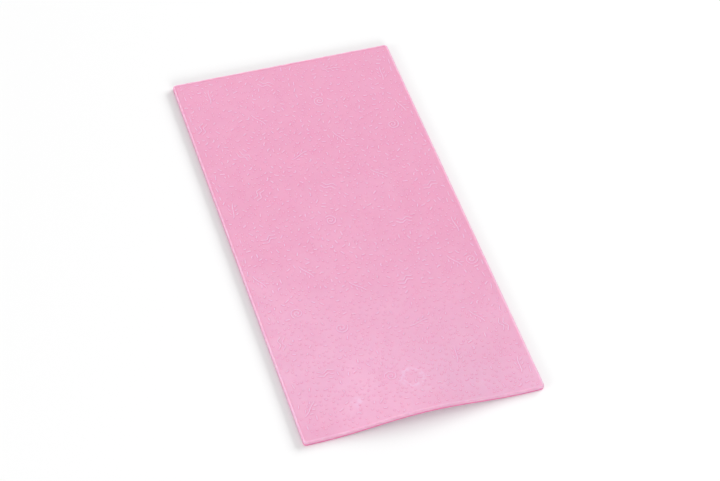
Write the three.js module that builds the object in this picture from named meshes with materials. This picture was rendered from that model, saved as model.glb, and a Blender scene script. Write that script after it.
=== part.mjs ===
// Silicone impression mat for a soap loaf mould. It is one soft casting: a web with a flat underside, a low rim
// all round its upper face, and a shallow swell where the near short edge stays lifted off the bench.
// Millimetres, +Z up. The origin is under the middle of the mat, on the surface that it lies on. Its length runs
// along Y, and the lifted edge is the one at -Y.

import * as THREE from "three";

// Driving dimensions of the casting
const length = 200;
const width = 100;
const webThickness = 2;
const rimHeight = 0.2; // above the web
const rimWidth = 1.2; // from the mat's outline to the foot of the rim's inner flank
const rimFlank = 0.6; // that flank's share of the rim's width
const cornerRadius = 1.5;
const upperChamfer = 0.4;
const lowerChamfer = 0.3;

// The swell: how high the near edge lifts, where along it, and how far each way the lift reaches
const swellHeight = 3.5;
const swellCentre = 0.5;
const swellHalfWidth = 43;
const swellReach = 60;

// How finely the sheet is divided, inside the rim
const columns = 20; // from the foot of one long rim to the other
const swellRows = 12; // from the near rim to the end of the swell
const flatRows = 5; // from there to the far rim

const siliconePink = new THREE.MeshStandardMaterial({ color: 0xf0a6c8, roughness: 0.5, metalness: 0 });

// The outer wall, from the underside to the rim's top: how far in from the outline, and how high
const rimTop = webThickness + rimHeight;
const wall = [
  { inset: lowerChamfer, z: 0 },
  { inset: 0, z: lowerChamfer },
  { inset: 0, z: rimTop - upperChamfer },
  { inset: upperChamfer, z: rimTop },
];
const top = wall.length - 1;

// Heights of the upper face at the outline, at the rim's inner corner and inside the rim
const upperFace = [rimTop, rimTop, webThickness];

// Equal steps from a to b, both ends included.
function steps(a, b, count) {
  return Array.from({ length: count + 1 }, (_, i) => a + ((b - a) * i) / count);
}

// Places across the mat where the sheet has a line of points: the rim's lines at both ends, and those between.
function stations(half, between) {
  const rim = [half, half - rimWidth + rimFlank];
  return [-rim[0], -rim[1], ...between, rim[1], rim[0]];
}

const webX = width / 2 - rimWidth;
const webY = length / 2 - rimWidth;
const swellEnd = swellReach - length / 2;
const xs = stations(width / 2, steps(-webX, webX, columns));
const ys = stations(length / 2, [
  ...steps(-webY, swellEnd, swellRows),
  ...steps(swellEnd, webY, flatRows).slice(1),
]);

// A cosine bell: 1 in the middle, level at the middle and at both feet, and 0 beyond them.
function bell(t) {
  return Math.abs(t) < 1 ? Math.cos((Math.PI * t) / 2) ** 2 : 0;
}

// How far the sheet is lifted at (x, y).
function lift(x, y) {
  return swellHeight * bell((x - swellCentre) / swellHalfWidth) * bell((y + length / 2) / swellReach);
}

// The point of the plan that (x, y) of a sharp-cornered mat moves to when the corners are rounded.
function roundedPlan(x, y) {
  const u = Math.abs(x) - (width / 2 - cornerRadius);
  const v = Math.abs(y) - (length / 2 - cornerRadius);
  if (u <= 0 || v <= 0) return [x, y];
  const scale = Math.max(u, v) / Math.hypot(u, v);
  return [x - Math.sign(x) * u * (1 - scale), y - Math.sign(y) * v * (1 - scale)];
}

// A box of grid points, one to each station, with every point moved to its place on the mat.
function matGeometry() {
  const nx = xs.length - 1;
  const ny = ys.length - 1;
  const lattice = new THREE.BoxGeometry(nx, ny, top, nx, ny, top).translate(nx / 2, ny / 2, top / 2);
  const points = lattice.getAttribute("position");
  for (let n = 0; n < points.count; n++) {
    const [i, j, level] = [points.getX(n), points.getY(n), points.getZ(n)].map(Math.round);
    const ring = Math.min(i, nx - i, j, ny - j, upperFace.length - 1);
    const inset = ring === 0 ? wall[level].inset : 0;
    const x = THREE.MathUtils.clamp(xs[i], inset - width / 2, width / 2 - inset);
    const y = THREE.MathUtils.clamp(ys[j], inset - length / 2, length / 2 - inset);
    const z = level === top ? upperFace[ring] : wall[level].z;
    const [planX, planY] = roundedPlan(x, y);
    points.setXYZ(n, planX, planY, z + lift(planX, planY));
  }
  lattice.computeVertexNormals();
  return lattice;
}

const castMat = new THREE.Mesh(matGeometry(), siliconePink);
castMat.name = "impression_mat";

const mat = new THREE.Group();
mat.add(castMat);

export default mat;
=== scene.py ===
"""A pink silicone impression mat, lying on a white studio floor.

The mat is one soft casting. Its upper face carries raised dots, grains and a few larger doodles
inside a low rim, and its near short edge has stayed lifted in a shallow swell. Shapes are worked
out in millimetres, with the origin under the middle of the mat, and become metres when the mesh
is made.
"""

import math
import random
from collections import defaultdict, namedtuple

import bpy
import numpy as np
from mathutils import Matrix, Vector
from mathutils.geometry import delaunay_2d_cdt


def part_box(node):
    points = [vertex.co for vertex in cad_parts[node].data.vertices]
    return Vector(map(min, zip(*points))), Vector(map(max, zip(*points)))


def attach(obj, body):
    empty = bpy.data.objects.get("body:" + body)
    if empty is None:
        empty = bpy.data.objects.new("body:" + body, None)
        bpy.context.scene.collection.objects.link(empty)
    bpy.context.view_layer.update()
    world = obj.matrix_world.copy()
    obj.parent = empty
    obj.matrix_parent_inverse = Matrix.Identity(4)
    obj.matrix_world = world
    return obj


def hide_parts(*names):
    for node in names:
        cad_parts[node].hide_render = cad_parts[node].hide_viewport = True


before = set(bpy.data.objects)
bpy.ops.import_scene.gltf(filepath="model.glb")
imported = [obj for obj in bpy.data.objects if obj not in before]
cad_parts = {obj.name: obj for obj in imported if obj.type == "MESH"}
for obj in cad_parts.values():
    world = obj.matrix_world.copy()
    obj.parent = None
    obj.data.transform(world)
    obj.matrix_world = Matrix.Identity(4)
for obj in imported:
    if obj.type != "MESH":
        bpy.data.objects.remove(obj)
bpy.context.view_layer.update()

MM = 0.001

# --------------------------------------------------------------------------------------------------
# Sizes of the sheet, in millimetres
# --------------------------------------------------------------------------------------------------

LOW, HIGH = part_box("impression_mat")
WIDTH = (HIGH.x - LOW.x) / MM
LENGTH = (HIGH.y - LOW.y) / MM
WEB = 2.0  # thickness of the sheet inside the rim
RIM = 0.2  # how far the rim stands above the web
SWELL = (HIGH.z - LOW.z) / MM - WEB - RIM  # how high the near edge lifts
SWELL_CENTRE = 0.5  # along X
SWELL_HALF_WIDTH = 43
SWELL_REACH = 60  # how far in from the near edge

# The edge, as distances in from the outline
RIM_FOOT = 1.2  # where the rim's inner flank meets the web
RIM_CREST = 0.55  # where it is highest, and the round over to the wall begins
UNDER_ROUND = 0.25  # radius of the lower edge

# The outline
CORNER = 1.5  # radius of its corners
LEAST_CORNER = 0.35  # radius that they keep on the rows further in
CORNER_CUTS = 5  # straight pieces in the quarter turn of a corner
OUTLINE_STEP = 1.2  # length of the straight pieces along its sides
UNDER_STEP = 4  # distance between the points of the underside

# --------------------------------------------------------------------------------------------------
# Sizes and places of the relief, in millimetres
# --------------------------------------------------------------------------------------------------

DOT_WIDTH = 1.12
GRAIN_WIDTH = 1.02
STROKE_WIDTH = 0.84
RELIEF_HEIGHT = 0.14
GRAIN_LENGTHS = (0.5, 1.9)
TIGHTEST_BEND = 0.8  # least radius that a grain bends to
MOST_BEND = 1.9  # radians that a grain turns through at most
STROKE_HALF_LENGTHS = (0.8, 1.5)
STROKE_TILT = 12  # most degrees that a stroke leans away from the long edge beside it
BORDER = 5  # width of the bands along the long edges that hold strokes
STROKE_SHARE = 0.25  # share of the marks there that are strokes
DOT_SHARE = 0.5  # share of the other marks that are dots, far from the lifted edge
MORE_DOTS = 0.25  # how much that share has grown near the lifted edge
DOTS_GROW_OVER = 80  # distance from the middle at which it has grown in full

DOT_SIDES = 8
CAP_TURNS = (45, 90, 135)  # degrees at which a ring has points round the end of a spine
MARK_RINGS = (1.0, 0.78, 0.56)  # shares of the half width that have a ring of points
FLAT_TOP = 0.36  # share of the half width over which a mark's top is level

SPACING = 1.55  # least distance between the points of two marks' spines
MARGIN = 0.1  # about how far the outermost dots stay from the rim's foot
MARKS_PER_MM2 = 0.132
TRIES_PER_MARK = 60  # the search for places ends after this many tries for each mark wanted
SEED = 12

# Where the larger doodles lie: x, y, and the turn in degrees
RIPPLES = [
    (-10, 90, -20), (-31, 51, -45), (-44, 71, 70), (-31, 28, 60), (-1, 25, -20), (41, 14, 20),
    (-34, 3, 25), (24, -2, 0), (14, -33, 20), (-44.5, -51, 80), (-32, -70, 5), (45, -66, -80),
]
SWIRLS = [
    (10, 74, 0), (37, 52, 120), (-6, 6, 200), (44, -30, 60), (-34, -38, 300), (-19, -50, 90),
    (-8, -80, 250),
]
SPRIGS = [
    (-36, 89, 80), (21, 92, -10), (42, 83, 80), (-19, 70, -60), (44, 62, -75), (12, 51, -65),
    (-8, 45, 20), (-44, 22, 75), (22, 26, -50), (44, -10, 90), (-44, -18, -65), (-24, -18, -60),
    (37, -29, -60), (-6, -31, -50), (12, -56, 10), (36, -59, -60), (21, -76, 75), (-43, -85, 45),
    (44, -87, 80),
]

# A raised mark: the line that it follows in plan, how wide it is to its foot, and how high
Mark = namedtuple("Mark", "spine width height")

# --------------------------------------------------------------------------------------------------
# Colours of the silicone, as linear RGB, and its paler and deeper areas, in millimetres
# --------------------------------------------------------------------------------------------------

PINK = (0.79, 0.354, 0.53, 1)
SHEEN_AND_MOTTLE_PINK = (0.82, 0.51, 0.685, 1)  # under the fullest painted reflection and the mottle, and as a painted highlight on marks' tops
FOOT_SHADE_PINK = (0.79, 0.25, 0.445, 1)  # painted shade round the foot of each mark
CREST_HIGHLIGHT_PINK = (0.85, 0.55, 0.69, 1)  # painted highlight in streaks along the rim's crest
WALL_SHADE_PINK = (0.80, 0.18, 0.39, 1)  # painted shade at the foot of the lifted edge's wall

# A soft-edged rectangle: its middle, half its size, half the width of its soft edge, and how much
# it adds to the paleness
Area = namedtuple("Area", "middle half soft change")

# A painted reflection of the light grows along a line that slants to one end of the lifted edge
REFLECTION_FROM = -14.0  # where it starts
REFLECTION_TO = 86.0  # where it is full
REFLECTION_MOST = 0.56
CLOUD_SHIFT = 30  # the whole range over which a cloudiness shifts it to and fro

# It is weaker at that corner, and stronger at the other and on the swell's side towards it
REFLECTION_AREAS = [
    Area((-47, -98), (12, 8), 9, -0.3),
    Area((38, -96), (18, 8), 9, 0.16),
    Area((20, -84), (12, 14), 8, 0.16),
]

# A pale patch and a pale step
PALE_AREAS = [
    Area((5, 10), (21, 18), 2.2, 0.1),
    Area((-17, 84), (10, 9), 2.0, 0.06),
]

# Painted highlight and shade of creases: two pale lines across the sheet, a deeper line beside one,
# and another deeper line far from the lifted edge
CREASES = [
    Area((0, -8.6), (32, 0.25), 0.5, 0.13),
    Area((0, -12.9), (32, 0.25), 0.5, 0.08),
    Area((0, -7.5), (32, 0.25), 0.5, -0.1),
    Area((0, 28.6), (17, 0.25), 0.5, -0.09),
]

# Painted reflections: a ring, a spot and faint streaks near the lifted edge
RING_MIDDLE = (0, -83)
RING_RADIUS = 4.6
RING_FADE = 2.1  # how far from its line the ring has faded out
SPOT_MIDDLE = (-24.5, -87.5)
SPOT_RADIUS = 3.6
STREAKS = Area((8, -90), (20, 2.5), 2, 0.15)

# --------------------------------------------------------------------------------------------------
# The studio: distances in metres, angles in degrees
# --------------------------------------------------------------------------------------------------

CAMERA_AZIMUTH = -21.02
CAMERA_ELEVATION = 49.54
CAMERA_ROLL = 4.08
CAMERA_DISTANCE = 0.8939
CAMERA_TARGET = Vector((3.14, -6.26, 0)) * MM
CAMERA_LENS = 106.7  # millimetres
CAMERA_SENSOR = 36  # millimetres

LIGHT_DISTANCE = 4.0  # from the middle of the mat to each softbox
AMBIENT = 0.54  # how strongly the white surroundings light the scene
BACKDROP = 0.95  # how bright they look where nothing is in front of them
FLOOR_HALF = 4.0  # half the floor's side
FLOOR_WHITE = (0.9, 0.9, 0.9, 1)


# --------------------------------------------------------------------------------------------------
# The sheet and its swell
# --------------------------------------------------------------------------------------------------


def bell(t):
    """1 in the middle, level there and at both feet, and 0 beyond them."""
    return np.where(np.abs(t) < 1, np.cos(np.pi * t / 2) ** 2, 0.0)


def bell_slope(t):
    """How fast the bell changes with t."""
    return np.where(np.abs(t) < 1, -np.pi / 2 * np.sin(np.pi * t), 0.0)


def lift(x, y):
    """How far the sheet is lifted off the floor."""
    across = bell((x - SWELL_CENTRE) / SWELL_HALF_WIDTH)
    return SWELL * across * bell((y + LENGTH / 2) / SWELL_REACH)


def lift_slope(x, y):
    """The slope of the lift along x and along y."""
    u = (x - SWELL_CENTRE) / SWELL_HALF_WIDTH
    v = (y + LENGTH / 2) / SWELL_REACH
    along_x = SWELL * bell_slope(u) / SWELL_HALF_WIDTH * bell(v)
    along_y = SWELL * bell(u) * bell_slope(v) / SWELL_REACH
    return np.stack([along_x, along_y], axis=-1)


def smooth(t):
    """Eases from 0 to 1 as t goes from 0 to 1."""
    t = np.clip(t, 0, 1)
    return t * t * (3 - 2 * t)


# --------------------------------------------------------------------------------------------------
# Doodles
# --------------------------------------------------------------------------------------------------


def turned(points, degrees, x, y):
    """Points turned about the origin, then moved to (x, y)."""
    a = math.radians(degrees)
    turn = np.array([[math.cos(a), math.sin(a)], [-math.sin(a), math.cos(a)]])
    return np.asarray(points, float) @ turn + (x, y)


def ripple():
    """Two short waves, one above the other."""
    half_length, height, period = 3.2, 0.55, 4.2
    shift, rise = 0.3, 0.85
    x = np.linspace(-half_length, half_length, 15)
    wave = height * np.sin(2 * np.pi * x / period)
    return [np.stack([x + side * shift, wave + side * rise], 1) for side in (1, -1)]


def swirl():
    """A spiral of nearly two turns."""
    inner, growth, turns = 0.55, 2.2, 1.8
    t = np.linspace(0, 1, 30)
    radius = inner + growth * t
    angle = 2 * np.pi * turns * np.sqrt(t * (0.35 + 0.65 * t))  # fastest where it is tightest
    return [np.stack([radius * np.cos(angle), radius * np.sin(angle)], 1)]


def stem(x):
    """How far a sprig's stem bends to the side."""
    return 0.35 * np.sin(np.pi * x / 5)


def sprig():
    """A bent stem with three pairs of leaves that stand clear of it."""
    x = np.linspace(-4, 4, 12)
    strokes = [np.stack([x, stem(x)], 1)]
    root, tip = (-0.55, 1.08), (0.35, 1.75)  # a leaf's ends, from its place on the stem
    for along in (-1.6, 0.6, 2.8):
        for side in (-1, 1):
            leaf = [(along + ahead, stem(along) + side * out) for ahead, out in (root, tip)]
            strokes.append(np.array(leaf))
    return strokes


def doodles():
    """All the larger marks."""
    marks = []
    for strokes, places in ((ripple(), RIPPLES), (swirl(), SWIRLS), (sprig(), SPRIGS)):
        for x, y, degrees in places:
            for stroke in strokes:
                marks.append(Mark(turned(stroke, degrees, x, y), STROKE_WIDTH, RELIEF_HEIGHT))
    return marks


# --------------------------------------------------------------------------------------------------
# Scattered marks
# --------------------------------------------------------------------------------------------------


def grain(rng, x, y):
    """A short straight or bent grain, lying any way round."""
    length = rng.uniform(*GRAIN_LENGTHS)
    most = min(length / TIGHTEST_BEND, MOST_BEND)
    bend = rng.choice((0, 0, rng.uniform(0.4, 1) * most)) * rng.choice((-1, 1))
    steps = 1 if bend == 0 else 3
    heading = np.linspace(-bend / 2, bend / 2, steps)
    legs = np.stack([np.cos(heading), np.sin(heading)], 1) * length / steps
    spine = np.vstack([[0, 0], np.cumsum(legs, 0)])
    return turned(spine - spine.mean(0), rng.uniform(0, 360), x, y)


def border_stroke(rng, x, y):
    """A longer straight stroke beside a long edge, and nearly parallel to it."""
    half = rng.uniform(*STROKE_HALF_LENGTHS)
    return turned([(-half, 0), (half, 0)], 90 + rng.uniform(-STROKE_TILT, STROKE_TILT), x, y)


def scattered_mark(rng, x, y):
    """A dot, a grain or, beside the long edges, now and then a longer stroke."""
    height = RELIEF_HEIGHT * rng.uniform(0.85, 1.1)
    if abs(x) > WIDTH / 2 - BORDER and rng.random() < STROKE_SHARE:
        return Mark(border_stroke(rng, x, y), STROKE_WIDTH, height)
    dots = DOT_SHARE + MORE_DOTS * float(smooth(-y / DOTS_GROW_OVER))
    if rng.random() < dots:
        return Mark(np.array([[x, y]]), DOT_WIDTH * rng.uniform(0.9, 1.08), height)
    return Mark(grain(rng, x, y), GRAIN_WIDTH * rng.uniform(0.92, 1.05), height)


class Occupied:
    """Remembers where marks are, so that a new one keeps its distance."""

    def __init__(self, spacing):
        self.spacing = spacing
        self.cells = defaultdict(list)

    def cell(self, point):
        return int(point[0] // self.spacing), int(point[1] // self.spacing)

    def near(self, point):
        """The points in the cells round that point, which hold all that are too close."""
        i, j = self.cell(point)
        for di in (-1, 0, 1):
            for dj in (-1, 0, 1):
                yield from self.cells.get((i + di, j + dj), ())

    def free(self, spine):
        return all(math.dist(p, q) >= self.spacing for p in spine for q in self.near(p))

    def add(self, spine):
        for p in spine:
            self.cells[self.cell(p)].append(p)


def scattered_marks(placed):
    """Fills what the doodles leave of the web with small marks, at the real density."""
    rng = random.Random(SEED)
    occupied = Occupied(SPACING)
    for mark in placed:
        occupied.add(mark.spine)
    half_x = WIDTH / 2 - RIM_FOOT - DOT_WIDTH / 2 - MARGIN
    half_y = LENGTH / 2 - RIM_FOOT - DOT_WIDTH / 2 - MARGIN
    wanted = round(MARKS_PER_MM2 * 4 * half_x * half_y)
    marks = []
    for _ in range(TRIES_PER_MARK * wanted):
        mark = scattered_mark(rng, rng.uniform(-half_x, half_x), rng.uniform(-half_y, half_y))
        inside = np.all(np.abs(mark.spine) <= (half_x, half_y))
        if inside and occupied.free(mark.spine):
            occupied.add(mark.spine)
            marks.append(mark)
        if len(marks) == wanted:
            break
    return marks


# --------------------------------------------------------------------------------------------------
# From marks to a triangulated face
# --------------------------------------------------------------------------------------------------


def crown(share):
    """Height of a mark, from 1 at its middle to 0 at its foot, and how fast that changes."""
    t = np.clip((share - FLAT_TOP) / (1 - FLAT_TOP), 0, 1)
    return 1 - float(smooth(t)), float(-6 * t * (1 - t) / (1 - FLAT_TOP))


def ring_directions(spine):
    """For each point of a ring round the spine: its point of the spine, and the way out from it.

    The ring runs back along the spine's left side, round its start, forward along its right side,
    and round its end. Round a single point it is a polygon.
    """
    if len(spine) == 1:
        angles = np.arange(DOT_SIDES) * math.tau / DOT_SIDES
        return np.zeros(DOT_SIDES, int), np.stack([np.cos(angles), np.sin(angles)], 1)
    run = np.gradient(spine, axis=0)
    run /= np.linalg.norm(run, axis=1, keepdims=True)
    left = np.stack([-run[:, 1], run[:, 0]], 1)
    turns = np.radians(CAP_TURNS)[:, None]
    round_start = np.cos(turns) * left[0] - np.sin(turns) * run[0]
    round_end = -np.cos(turns) * left[-1] + np.sin(turns) * run[-1]
    along = list(range(len(spine)))
    owners = along[::-1] + along[:1] * len(turns) + along + along[-1:] * len(turns)
    return np.array(owners), np.vstack([left[::-1], round_start, -left, round_end])


class Face:
    """A face's points, with their rise above the sheet, its slope and their share of a mark's height.

    Its links are the pairs of points that triangles must have as a side.
    """

    def __init__(self):
        self.xy = []
        self.rise = []
        self.slope = []
        self.relief = []
        self.links = []
        self.count = 0

    def add(self, xy, rise, slope, relief, closed):
        """Adds a line of linked points, closed to a ring or open."""
        n = len(xy)
        self.xy.append(np.asarray(xy, float))
        self.rise.append(np.full(n, rise, float))
        self.slope.append(np.broadcast_to(slope, (n, 2)))
        self.relief.append(np.full(n, relief, float))
        ids = list(range(self.count, self.count + n))
        self.links += list(zip(ids, ids[1:], strict=False))
        if closed:
            self.links.append((ids[-1], ids[0]))
        self.count += n

    def add_level(self, xy, closed):
        """Adds a line of points on the sheet itself."""
        self.add(xy, 0, (0, 0), 0, closed)

    def add_mark(self, mark):
        """Adds the rings round a mark, from its foot inwards, and its spine."""
        owners, outward = ring_directions(mark.spine)
        half = mark.width / 2
        for share in MARK_RINGS:
            height, fall = crown(share)
            ring = mark.spine[owners] + outward * half * share
            slope = outward * fall * mark.height / half
            self.add(ring, height * mark.height, slope, height, closed=True)
        self.add(mark.spine, mark.height, (0, 0), 1, closed=False)

    def triangles(self):
        """Triangles over all the points, anticlockwise from above, as places in the lists."""
        points = [Vector(p) for p in np.vstack(self.xy)]
        inside_only, tolerance = 1, 1e-6
        result = delaunay_2d_cdt(points, self.links, [], inside_only, tolerance)
        made_points, made_triangles, origins = result[0], result[2], result[3]
        if len(made_points) != len(points):
            crossing = [made_points[i][:] for i, old in enumerate(origins) if len(old) != 1]
            raise RuntimeError(f"two rings cross or touch at {crossing[:5]}")
        return np.array([[origins[i][0] for i in triangle] for triangle in made_triangles])


# --------------------------------------------------------------------------------------------------
# The rim, the wall and the lower edge
# --------------------------------------------------------------------------------------------------


def between(start, end, cuts):
    """The points, without its ends, that cut a straight line into equal pieces."""
    line = []
    for i in range(1, cuts):
        line.append(tuple(a + (b - a) * i / cuts for a, b in zip(start, end, strict=True)))
    return line


def outline(inset):
    """Points round the mat at that distance inside its plan, anticlockwise, as many for any inset."""
    radius = max(CORNER - inset, LEAST_CORNER)
    half_x = WIDTH / 2 - inset - radius
    half_y = LENGTH / 2 - inset - radius
    centres = ((half_x, half_y), (-half_x, half_y), (-half_x, -half_y), (half_x, -half_y))
    arcs = []
    for quarter, (x, y) in enumerate(centres):
        turns = [math.radians(90 * (quarter + i / CORNER_CUTS)) for i in range(CORNER_CUTS + 1)]
        arcs.append([(x + radius * math.cos(a), y + radius * math.sin(a)) for a in turns])
    points = []
    for arc, next_arc, side in zip(arcs, arcs[1:] + arcs[:1], (WIDTH, LENGTH) * 2, strict=True):
        points += arc
        points += between(arc[-1], next_arc[0], round(side / OUTLINE_STEP))
    return np.array(points)


def edge_profile():
    """From the web over the rim to the underside: distance in, height and rim share of each row.

    The rim share is 0 on the web, 1 on the crest and -1 at the foot of the wall.
    """
    top = WEB + RIM
    rows = []
    for t in np.linspace(0, 1, 7):
        rise = float(smooth(t))
        rows.append((RIM_FOOT + (RIM_CREST - RIM_FOOT) * t, WEB + RIM * rise, rise))
    for a in np.radians([15, 30, 45, 60, 75, 90]):
        rows.append((RIM_CREST * (1 - math.sin(a)), top - RIM_CREST * (1 - math.cos(a)), 1))
    rows += [(0.015, 0.6 * WEB, 0.2), (0.03, 0.35 * WEB, -0.6)]  # the wall, very slightly hollow
    for a in np.radians([0, 30, 60, 90]):
        rows.append((UNDER_ROUND * (1 - math.cos(a)), UNDER_ROUND * (1 - math.sin(a)), -1))
    return rows


def rim_wander(xy):
    """Small unevenness of the rim's height, as poured silicone has."""
    x, y = xy[:, 0], xy[:, 1]
    slanting = 0.02 * np.sin(0.9 * x + 0.4 * y)
    crossing = 0.02 * np.sin(0.5 * x - 1.1 * y + 1)
    short = 0.015 * np.sin(2.1 * (x + y))
    return slanting + crossing + short


def edge_grid():
    """The edge as rows of points round the mat, from the web over the rim to the underside."""
    rows = []
    for inset, height, share in edge_profile():
        xy = outline(inset)
        z = height + max(share, 0) * rim_wander(xy) + lift(xy[:, 0], xy[:, 1])
        rows.append(np.column_stack([xy, z]))
    return np.array(rows)


def grid_normals(grid):
    """Unit normals of the edge, out of the silicone, from each point's neighbours."""
    around = np.roll(grid, -1, axis=1) - np.roll(grid, 1, axis=1)
    down = np.gradient(grid, axis=0)
    normals = np.cross(down, around)
    return normals / np.linalg.norm(normals, axis=2, keepdims=True)


def edge_quads(starts, around):
    """Quads between neighbouring rings of points, from the place where each ring starts."""
    j = np.arange(around)
    after = (j + 1) % around
    quads = []
    for inner, outer in zip(starts, starts[1:], strict=False):
        quads.append(np.column_stack([inner + j, outer + j, outer + after, inner + after]))
    return np.vstack(quads)


# --------------------------------------------------------------------------------------------------
# The whole mat as one closed mesh
# --------------------------------------------------------------------------------------------------


def upper_face(boundary):
    """The textured face inside the rim."""
    face = Face()
    face.add_level(boundary, closed=True)
    large = doodles()
    for mark in large + scattered_marks(large):
        face.add_mark(mark)
    return face


def under_face(boundary):
    """The plain underside."""
    face = Face()
    face.add_level(boundary, closed=True)
    for y in np.arange(-LENGTH / 2 + UNDER_STEP, (LENGTH - UNDER_STEP) / 2, UNDER_STEP):
        for x in np.arange(-WIDTH / 2 + UNDER_STEP, (WIDTH - UNDER_STEP) / 2, UNDER_STEP):
            face.add_level([(x, y)], closed=False)
    return face


def lifted(face, base, up):
    """A face's points at that height above the lifted sheet's underside, and their unit normals."""
    xy = np.vstack(face.xy)
    z = base + np.concatenate(face.rise) + lift(xy[:, 0], xy[:, 1])
    slope = lift_slope(xy[:, 0], xy[:, 1]) + np.vstack(face.slope)
    normals = np.column_stack([-slope, np.ones(len(xy))]) * up
    return np.column_stack([xy, z]), normals / np.linalg.norm(normals, axis=1, keepdims=True)


def mat_mesh():
    """The casting: its textured face, the edge swept round it, and its underside."""
    grid = edge_grid()
    rows, around = grid.shape[:2]
    top = upper_face(grid[0, :, :2])
    under = under_face(grid[-1, :, :2])

    top_points, top_normals = lifted(top, WEB, 1)
    under_points, under_normals = lifted(under, 0, -1)
    points = np.vstack([top_points, grid[1:-1].reshape(-1, 3), under_points])
    normals = np.vstack([top_normals, grid_normals(grid)[1:-1].reshape(-1, 3), under_normals])

    edge_share = np.repeat([share for _, _, share in edge_profile()][1:-1], around)
    rim = np.concatenate([np.zeros(top.count), edge_share, np.zeros(under.count)])
    relief = np.concatenate([*top.relief, np.zeros(len(edge_share)), *under.relief])

    under_start = top.count + (rows - 2) * around
    ring_starts = [0, *range(top.count, under_start + 1, around)]
    faces = top.triangles().tolist() + edge_quads(ring_starts, around).tolist()
    faces += (under.triangles()[:, ::-1] + under_start).tolist()

    mesh = bpy.data.meshes.new("silicone_mat")
    mesh.from_pydata((points * MM).tolist(), [], faces)
    mesh.polygons.foreach_set("use_smooth", [True] * len(mesh.polygons))
    mesh.normals_split_custom_set_from_vertices(normals.tolist())
    for name, values in (("relief", relief), ("rim", rim)):
        attribute = mesh.attributes.new(name, "FLOAT", "POINT")
        attribute.data.foreach_set("value", values.astype(np.float32))
    return mesh


# --------------------------------------------------------------------------------------------------
# Silicone
# --------------------------------------------------------------------------------------------------


class Nodes:
    """Builds a node tree: a number or colour is set on its socket, and a socket is linked to it."""

    def __init__(self, tree):
        self.tree = tree

    def add(self, kind, inputs, out=0, **settings):
        """Adds a node and gives one of its outputs, by place or by name."""
        node = self.tree.nodes.new(f"ShaderNode{kind}")
        for name, value in settings.items():
            setattr(node, name, value)
        for name, value in inputs.items():
            if isinstance(value, bpy.types.NodeSocket):
                self.tree.links.new(value, node.inputs[name])
            else:
                node.inputs[name].default_value = value
        return node.outputs[out]

    def math(self, operation, *values):
        return self.add("Math", dict(enumerate(values)), operation=operation)

    def product(self, first, *others):
        total = first
        for value in others:
            total = self.math("MULTIPLY", total, value)
        return total

    def ease(self, value, start, end, low=0.0, high=1.0):
        """Eases from low to high as the value goes from start to end."""
        inputs = {"Value": value, "From Min": start, "From Max": end, "To Min": low, "To Max": high}
        return self.add("MapRange", inputs, interpolation_type="SMOOTHSTEP")

    def noise(self, vector, size, detail=2.0):
        """Noise with features about that many millimetres across, from 0 to 1."""
        return self.add("TexNoise", {"Vector": vector, "Scale": 1 / size, "Detail": detail})

    def mix(self, share, first, second):
        """Blends two colours, whose sockets are the node's seventh and eighth."""
        inputs = {0: share, 6: first, 7: second}
        return self.add("Mix", inputs, out=2, data_type="RGBA")

    def attribute(self, name):
        return self.add("Attribute", {}, out="Fac", attribute_name=name)


def patch(nodes, x, y, area):
    """1 well inside an area, 0 well outside it."""
    sides = []
    for along, middle, half in zip((x, y), area.middle, area.half, strict=True):
        off = nodes.math("ABSOLUTE", nodes.math("SUBTRACT", along, middle))
        sides.append(nodes.ease(off, half + area.soft, half - area.soft))
    return nodes.product(*sides)


def add_areas(nodes, start, x, y, areas):
    """A value with each area's change added inside that area."""
    total = start
    for area in areas:
        total = nodes.math("ADD", total, nodes.product(patch(nodes, x, y, area), area.change))
    return total


def diamond(nodes, x, y, middle):
    """Distance from the middle, measured so that equal distances make a diamond with soft corners."""
    dx = nodes.math("ABSOLUTE", nodes.math("SUBTRACT", x, middle[0]))
    dy = nodes.math("ABSOLUTE", nodes.math("SUBTRACT", y, middle[1]))
    squares = nodes.math("ADD", nodes.math("POWER", dx, 2), nodes.math("POWER", dy, 2))
    direct = nodes.math("SQRT", squares)
    by_axes = nodes.math("ADD", dx, dy)
    return nodes.math("ADD", nodes.product(by_axes, 0.45), nodes.product(direct, 0.55))


def swell_reflection(nodes, x, y, broad):
    """A painted reflection of the light: cloudy, and most towards the lifted edge."""
    slant = nodes.math("SUBTRACT", nodes.math("MULTIPLY", x, -0.3), y)
    cloud = nodes.math("MULTIPLY", nodes.math("SUBTRACT", broad, 0.5), CLOUD_SHIFT)
    along = nodes.math("ADD", slant, cloud)
    reflected = nodes.ease(along, REFLECTION_FROM, REFLECTION_TO, high=REFLECTION_MOST)
    return add_areas(nodes, reflected, x, y, REFLECTION_AREAS)


def reflection_patches(nodes, place, x, y, ragged, fine):
    """Painted reflections: the ring and spot, broken up by fine noise, and the faint streaks."""
    off_ring = nodes.math("SUBTRACT", diamond(nodes, x, ragged, RING_MIDDLE), RING_RADIUS)
    ring = nodes.ease(nodes.math("ABSOLUTE", off_ring), RING_FADE, 0.2)
    spot = nodes.ease(diamond(nodes, x, ragged, SPOT_MIDDLE), SPOT_RADIUS, 1.0)
    both = nodes.math("ADD", nodes.product(ring, 0.85), nodes.product(spot, 0.8))
    broken = nodes.ease(nodes.noise(place, size=1.6, detail=3.0), 0.36, 0.62)
    streaked = nodes.product(patch(nodes, x, y, STREAKS), nodes.ease(fine, 0.5, 0.62))
    streaks = nodes.product(streaked, STREAKS.change)
    return nodes.math("ADD", nodes.product(both, broken), streaks)


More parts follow.
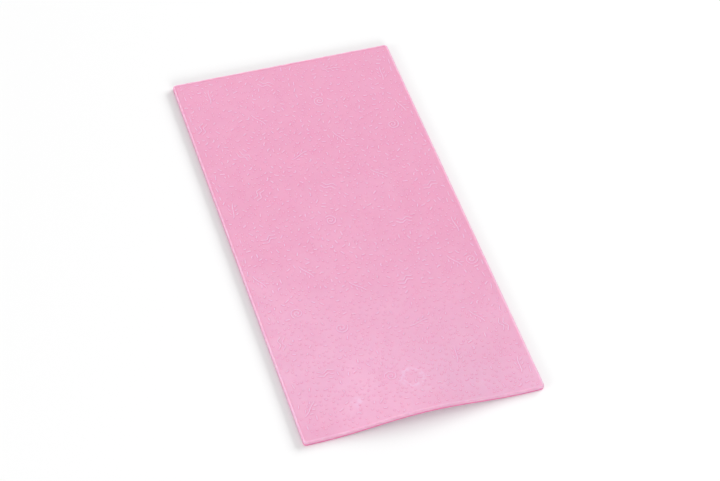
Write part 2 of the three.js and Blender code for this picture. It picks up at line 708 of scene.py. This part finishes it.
def sheen_and_mottle(nodes, place, x, y):
    """Paleness, from 0 up: painted reflections, painted crease shading, pale patches and a mottle."""
    broad = nodes.noise(place, size=22.0, detail=3.0)
    fine = nodes.noise(place, size=3.0, detail=3.0)
    ragged = nodes.math("ADD", y, nodes.math("MULTIPLY", nodes.math("SUBTRACT", fine, 0.5), 3))
    reflected = swell_reflection(nodes, x, y, broad)
    patched = add_areas(nodes, 0.0, x, ragged, PALE_AREAS + CREASES)
    patch_reflections = reflection_patches(nodes, place, x, y, ragged, fine)
    mottle = nodes.math("ADD", nodes.product(broad, 0.16), nodes.product(fine, 0.12))
    mottle = nodes.math("SUBTRACT", mottle, 0.14)
    total = nodes.math("ADD", nodes.math("ADD", reflected, patched), nodes.math("ADD", patch_reflections, mottle))
    return nodes.math("MAXIMUM", total, 0)


def silicone_colour(nodes, place, relief, rim, top, crest):
    """Pink with painted reflections over a mottle, a painted highlight on the marks' tops and along
    the rim's crest, and painted shade round the marks.

    The painted shade is deepest at the wall's foot on the lifted edge.
    """
    x = nodes.add("SeparateXYZ", {"Vector": place}, out="X")
    y = nodes.add("SeparateXYZ", {"Vector": place}, out="Y")
    # Painted shade round the foot of each mark
    foot_shade = nodes.product(nodes.ease(relief, 0.0, 0.1), nodes.ease(relief, 0.7, 0.3))
    off_foot_shade = nodes.math("SUBTRACT", 1.0, foot_shade)
    sheened = nodes.product(sheen_and_mottle(nodes, place, x, y), off_foot_shade, 0.78)
    # Painted highlight on the marks' tops, added to the paleness
    pale = nodes.math("ADD", sheened, nodes.product(top, 0.82))
    # Painted highlight in streaks along the rim's crest
    streaks = nodes.ease(nodes.noise(place, size=2.5, detail=3.0), 0.35, 0.7, low=0.25, high=0.75)
    # Painted shade at the wall's foot, kept to the lifted edge
    wall_shade = nodes.ease(rim, 0.0, -0.9)
    lifted_edge = nodes.ease(y, -LENGTH / 2 + 2.5, -LENGTH / 2 + 0.4, low=0.15)

    colour = nodes.mix(pale, PINK, SHEEN_AND_MOTTLE_PINK)
    colour = nodes.mix(foot_shade, colour, FOOT_SHADE_PINK)
    colour = nodes.mix(nodes.product(crest, streaks), colour, CREST_HIGHLIGHT_PINK)
    return nodes.mix(nodes.product(wall_shade, lifted_edge), colour, WALL_SHADE_PINK)


def silicone_roughness(nodes, place, top, crest):
    """A soft, slightly uneven gloss, stronger on the marks' tops and the rim."""
    rough = nodes.ease(nodes.noise(place, size=9.0, detail=4.0), 0.3, 0.7, low=0.44, high=0.54)
    polish = nodes.math("ADD", nodes.product(top, 0.15), nodes.product(crest, 0.18))
    return nodes.math("SUBTRACT", rough, polish)


def silicone_bump(nodes, place):
    """A fine grain over a broader unevenness."""
    fine_grain = nodes.noise(place, size=0.35)
    unevenness = nodes.noise(place, size=6.0)
    height = nodes.math("ADD", nodes.product(fine_grain, 0.012), nodes.product(unevenness, 0.06))
    return nodes.add("Bump", {"Height": height, "Distance": MM, "Strength": 1.0})


def silicone():
    """Translucent pink silicone."""
    material = bpy.data.materials.new("pink_silicone")
    material.use_nodes = True
    links = material.node_tree.links
    shader = material.node_tree.nodes["Principled BSDF"]
    shader.inputs["Subsurface Weight"].default_value = 1.0
    shader.inputs["Subsurface Radius"].default_value = (1.3, 0.8, 1.0)
    shader.inputs["Subsurface Scale"].default_value = 1.0 * MM
    shader.inputs["IOR"].default_value = 1.41

    nodes = Nodes(material.node_tree)
    local = nodes.add("TexCoord", {}, out="Object")
    place = nodes.add("Mapping", {"Vector": local, "Scale": (1 / MM,) * 3})
    relief = nodes.attribute("relief")
    rim = nodes.attribute("rim")
    top = nodes.ease(relief, 0.3, 0.85)
    crest = nodes.ease(rim, 0.35, 1.0)
    links.new(silicone_colour(nodes, place, relief, rim, top, crest), shader.inputs["Base Color"])
    links.new(silicone_roughness(nodes, place, top, crest), shader.inputs["Roughness"])
    links.new(silicone_bump(nodes, place), shader.inputs["Normal"])
    return material


# --------------------------------------------------------------------------------------------------
# Floor, light and camera
# --------------------------------------------------------------------------------------------------


def add_object(name, data):
    thing = bpy.data.objects.new(name, data)
    bpy.context.scene.collection.objects.link(thing)
    return thing


def studio_floor():
    """A plain white floor."""
    half = FLOOR_HALF
    corners = [(-half, -half, 0), (half, -half, 0), (half, half, 0), (-half, half, 0)]
    mesh = bpy.data.meshes.new("studio_floor")
    mesh.from_pydata(corners, [], [(0, 1, 2, 3)])
    material = bpy.data.materials.new("white_floor")
    material.use_nodes = True
    shader = material.node_tree.nodes["Principled BSDF"]
    shader.inputs["Base Color"].default_value = FLOOR_WHITE
    shader.inputs["Roughness"].default_value = 0.9
    shader.inputs["Specular IOR Level"].default_value = 0
    mesh.materials.append(material)
    return add_object("studio_floor", mesh)


def direction(azimuth, elevation):
    """The unit vector from the mat towards a camera or light; azimuth 0 is -Y."""
    a, e = math.radians(azimuth), math.radians(elevation)
    return Vector((math.sin(a) * math.cos(e), -math.cos(a) * math.cos(e), math.sin(e)))


def facing(away):
    """The turn that makes a camera or light at the end of away look back along it."""
    return away.to_track_quat("Z", "Y").to_matrix().to_4x4()


def softbox(name, lit, azimuth, elevation, size, watts):
    """An area light that looks at the mat and lights only the object given."""
    data = bpy.data.lights.new(name, "AREA")
    data.shape = "RECTANGLE"
    data.size, data.size_y = size
    data.energy = watts
    lamp = add_object(name, data)
    away = direction(azimuth, elevation)
    lamp.matrix_world = Matrix.Translation(away * LIGHT_DISTANCE) @ facing(away)
    receivers = bpy.data.collections.new(f"{name}_receivers")
    receivers.objects.link(lit)
    lamp.light_linking.receiver_collection = receivers


def surroundings():
    """White all round, brighter to look at than as a light."""
    world = bpy.data.worlds.new("studio")
    bpy.context.scene.world = world
    world.use_nodes = True
    background = world.node_tree.nodes["Background"]
    background.inputs["Color"].default_value = (1, 1, 1, 1)
    nodes = Nodes(world.node_tree)
    seen = nodes.add("LightPath", {}, out="Is Camera Ray")
    strength = nodes.ease(seen, 0.0, 1.0, low=AMBIENT, high=BACKDROP)
    world.node_tree.links.new(strength, background.inputs["Strength"])


def studio_light(mat, floor):
    """Soft light on the mat, and from boxes of their own on the floor."""
    softbox("left_window", floor, azimuth=-75, elevation=20, size=(2.4, 1.2), watts=45)
    softbox("left_fill", mat, azimuth=-75, elevation=20, size=(2.4, 1.2), watts=34)
    softbox("key_softbox", mat, azimuth=173, elevation=58, size=(1.8, 1.4), watts=80)
    softbox("front_fill", mat, azimuth=-10, elevation=22, size=(1.6, 0.3), watts=26)
    softbox("right_glow", floor, azimuth=110, elevation=24, size=(3.4, 1.4), watts=150)
    softbox("front_glow", floor, azimuth=0, elevation=18, size=(2.4, 1.0), watts=84)


def studio_camera():
    """The camera, turned a little about its line of sight."""
    data = bpy.data.cameras.new("camera")
    data.lens = CAMERA_LENS
    data.sensor_width = CAMERA_SENSOR
    camera = add_object("camera", data)
    away = direction(CAMERA_AZIMUTH, CAMERA_ELEVATION)
    stand = Matrix.Translation(CAMERA_TARGET + away * CAMERA_DISTANCE)
    roll = Matrix.Rotation(math.radians(CAMERA_ROLL), 4, "Z")
    camera.matrix_world = stand @ facing(away) @ roll
    bpy.context.scene.camera = camera


def build():
    """The mat, the floor that it lies on, and what lights and sees them."""
    mat = add_object("silicone_mat", mat_mesh())
    mat.data.materials.append(silicone())
    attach(mat, "root")
    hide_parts("impression_mat")
    floor = studio_floor()
    surroundings()
    studio_light(mat, floor)
    studio_camera()
    bpy.context.scene.view_settings.view_transform = "Standard"


build()
